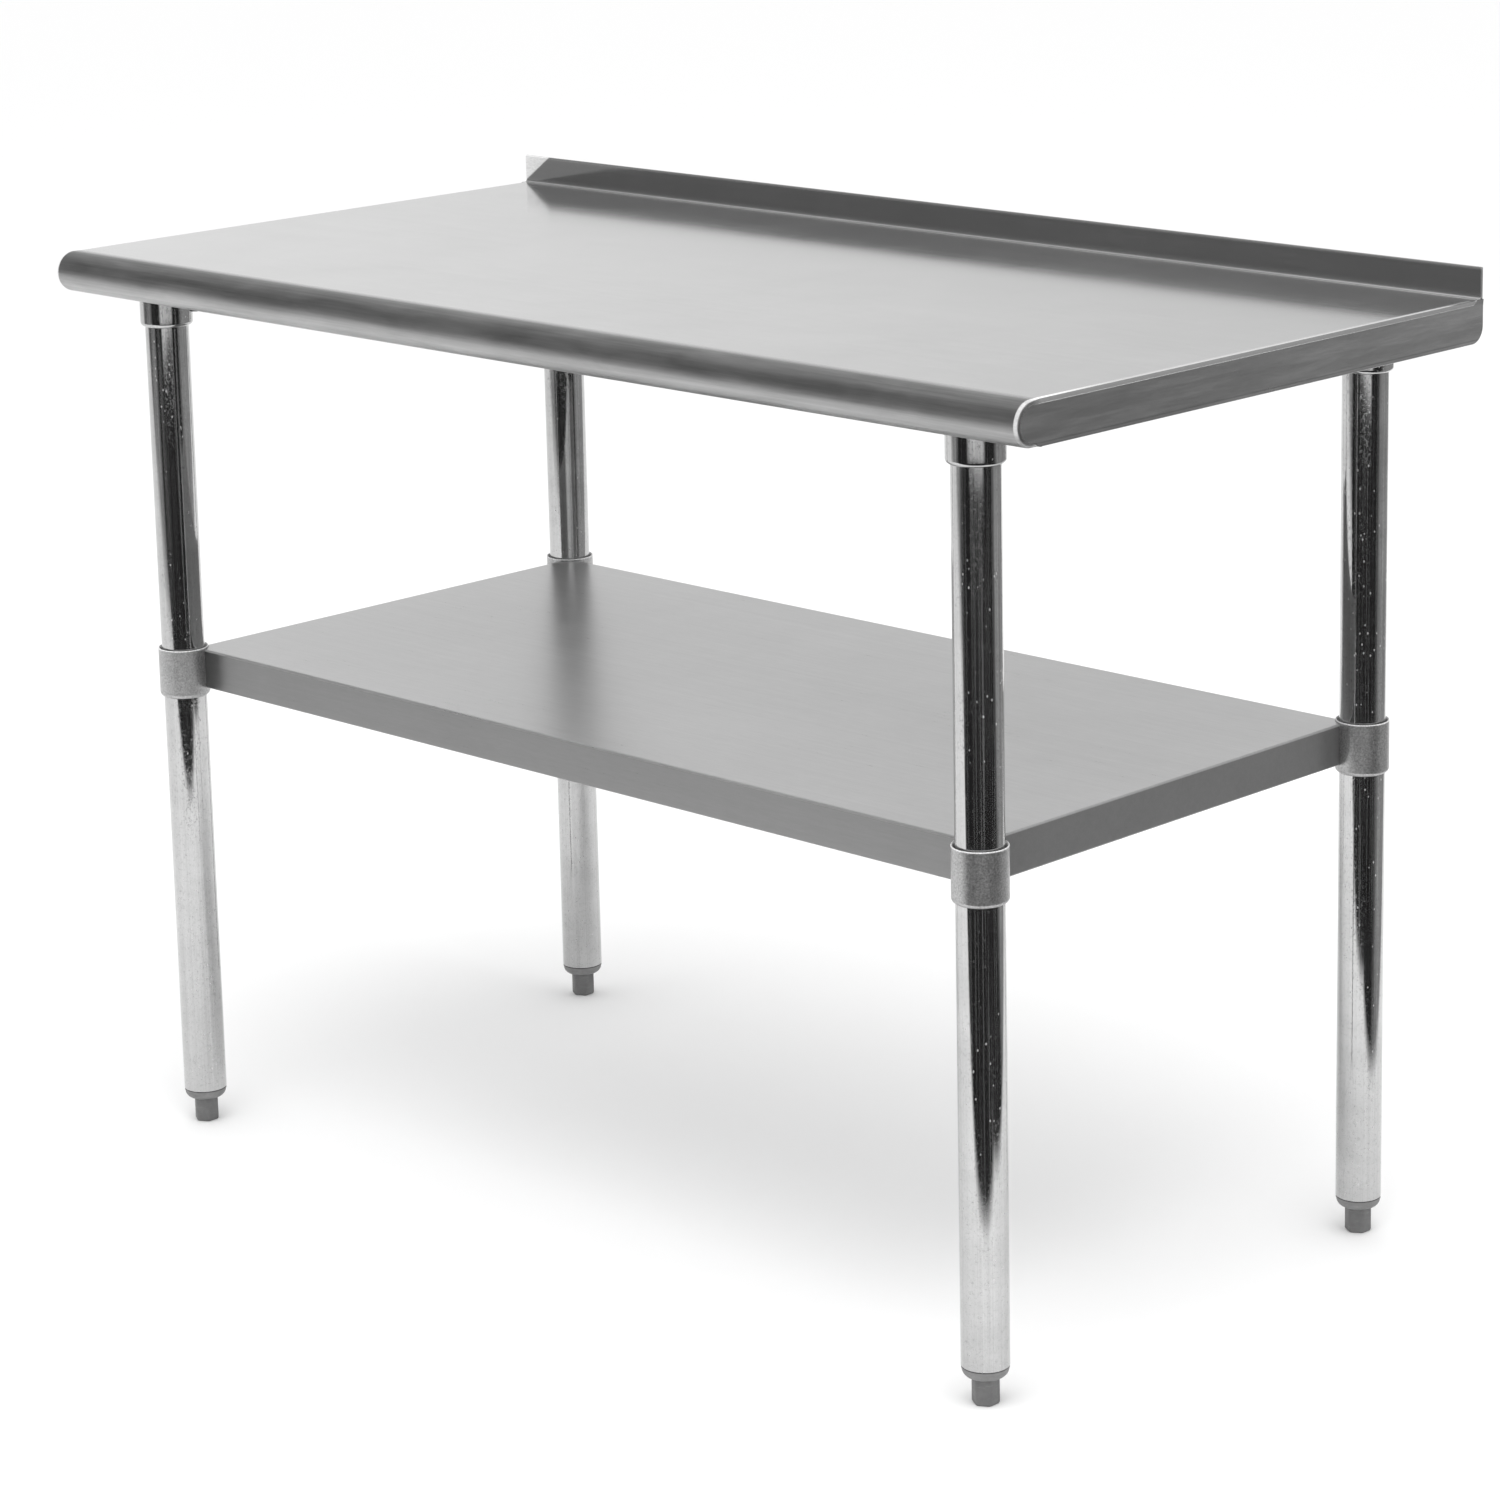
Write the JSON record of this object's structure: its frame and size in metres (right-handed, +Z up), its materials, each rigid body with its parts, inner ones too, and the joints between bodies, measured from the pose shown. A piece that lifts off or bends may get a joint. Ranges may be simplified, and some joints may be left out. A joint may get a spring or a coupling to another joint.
{
  "type": "work table",
  "caption": "Stainless steel work table with a rolled front edge, low rear upstand, tube legs, height-adjustable undershelf and levelling feet.",
  "frame": {"origin": "on the floor, under the middle of the worktop", "axes": "+X along the table to the right, +Y from the front edge to the rear upstand, +Z up"},
  "size_m": [1.2192, 0.6095, 0.8916],
  "materials": {
    "worktop_steel": "fine brushed, grain along the length",
    "end_panel_steel": "fine brushed, grain from front to back",
    "shelf_steel": "fine brushed, grain along the length",
    "leg_chrome": "polished tube with light scratches",
    "collar_steel": "satin cast and turned",
    "socket_steel": "bright turned",
    "galvanised_steel": "dull galvanised with fine spangle",
    "foot_plastic": "moulded dark grey plastic",
    "screw_steel": "black oxide",
    "zinc_fastener": "zinc plated"
  },
  "bodies": {
    "table": {"worktop": "worktop_steel", "left_end_panel": "end_panel_steel", "right_end_panel": "end_panel_steel", "left_cross_channel": "galvanised_steel", "right_cross_channel": "galvanised_steel", "centre_channel": "galvanised_steel", "channel_studs": "zinc_fastener", "channel_nuts": "zinc_fastener", "front_left_socket": "socket_steel", "front_right_socket": "socket_steel", "back_left_socket": "socket_steel", "back_right_socket": "socket_steel", "socket_screws": "zinc_fastener", "leg_set_screws": "screw_steel", "front_left_leg": "leg_chrome", "front_right_leg": "leg_chrome", "back_left_leg": "leg_chrome", "back_right_leg": "leg_chrome", "front_left_foot_insert": "foot_plastic", "front_right_foot_insert": "foot_plastic", "back_left_foot_insert": "foot_plastic", "back_right_foot_insert": "foot_plastic"},
    "shelf": {"undershelf": "shelf_steel", "shelf_channel": "galvanised_steel", "front_left_collar": "collar_steel", "front_right_collar": "collar_steel", "back_left_collar": "collar_steel", "back_right_collar": "collar_steel", "collar_set_screws": "screw_steel"},
    "front_left_foot_screw": {"front_left_foot_stud": "zinc_fastener"},
    "front_left_foot": {"front_left_foot_barrel": "foot_plastic"},
    "front_right_foot_screw": {"front_right_foot_stud": "zinc_fastener"},
    "front_right_foot": {"front_right_foot_barrel": "foot_plastic"},
    "back_left_foot_screw": {"back_left_foot_stud": "zinc_fastener"},
    "back_left_foot": {"back_left_foot_barrel": "foot_plastic"},
    "back_right_foot_screw": {"back_right_foot_stud": "zinc_fastener"},
    "back_right_foot": {"back_right_foot_barrel": "foot_plastic"}
  },
  "joints": [
    {"name": "shelf_height", "type": "slide", "parent": "table", "child": "shelf", "axis": [0, 0, 1], "range_m": [-0.38, 0.31]},
    {"name": "front_left_foot_travel", "type": "slide", "parent": "table", "child": "front_left_foot_screw", "axis": [0, 0, -1], "range_m": [0, 0.024]},
    {"name": "front_left_foot_turn", "type": "hinge", "parent": "front_left_foot_screw", "child": "front_left_foot", "pos_m": [-0.516, -0.248, 0], "axis": [0, 0, -1], "range_deg": [0, 5762]},
    {"name": "front_right_foot_travel", "type": "slide", "parent": "table", "child": "front_right_foot_screw", "axis": [0, 0, -1], "range_m": [0, 0.024]},
    {"name": "front_right_foot_turn", "type": "hinge", "parent": "front_right_foot_screw", "child": "front_right_foot", "pos_m": [0.516, -0.248, 0], "axis": [0, 0, -1], "range_deg": [0, 5762]},
    {"name": "back_left_foot_travel", "type": "slide", "parent": "table", "child": "back_left_foot_screw", "axis": [0, 0, -1], "range_m": [0, 0.024]},
    {"name": "back_left_foot_turn", "type": "hinge", "parent": "back_left_foot_screw", "child": "back_left_foot", "pos_m": [-0.516, 0.262, 0], "axis": [0, 0, -1], "range_deg": [0, 5762]},
    {"name": "back_right_foot_travel", "type": "slide", "parent": "table", "child": "back_right_foot_screw", "axis": [0, 0, -1], "range_m": [0, 0.024]},
    {"name": "back_right_foot_turn", "type": "hinge", "parent": "back_right_foot_screw", "child": "back_right_foot", "pos_m": [0.516, 0.262, 0], "axis": [0, 0, -1], "range_deg": [0, 5762]}
  ],
  "couplings": [
    {"joint": "front_left_foot_turn", "follows": "front_left_foot_travel", "rad_per_m": 4188.8},
    {"joint": "front_right_foot_turn", "follows": "front_right_foot_travel", "rad_per_m": 4188.8},
    {"joint": "back_left_foot_turn", "follows": "back_left_foot_travel", "rad_per_m": 4188.8},
    {"joint": "back_right_foot_turn", "follows": "back_right_foot_travel", "rad_per_m": 4188.8}
  ]
}
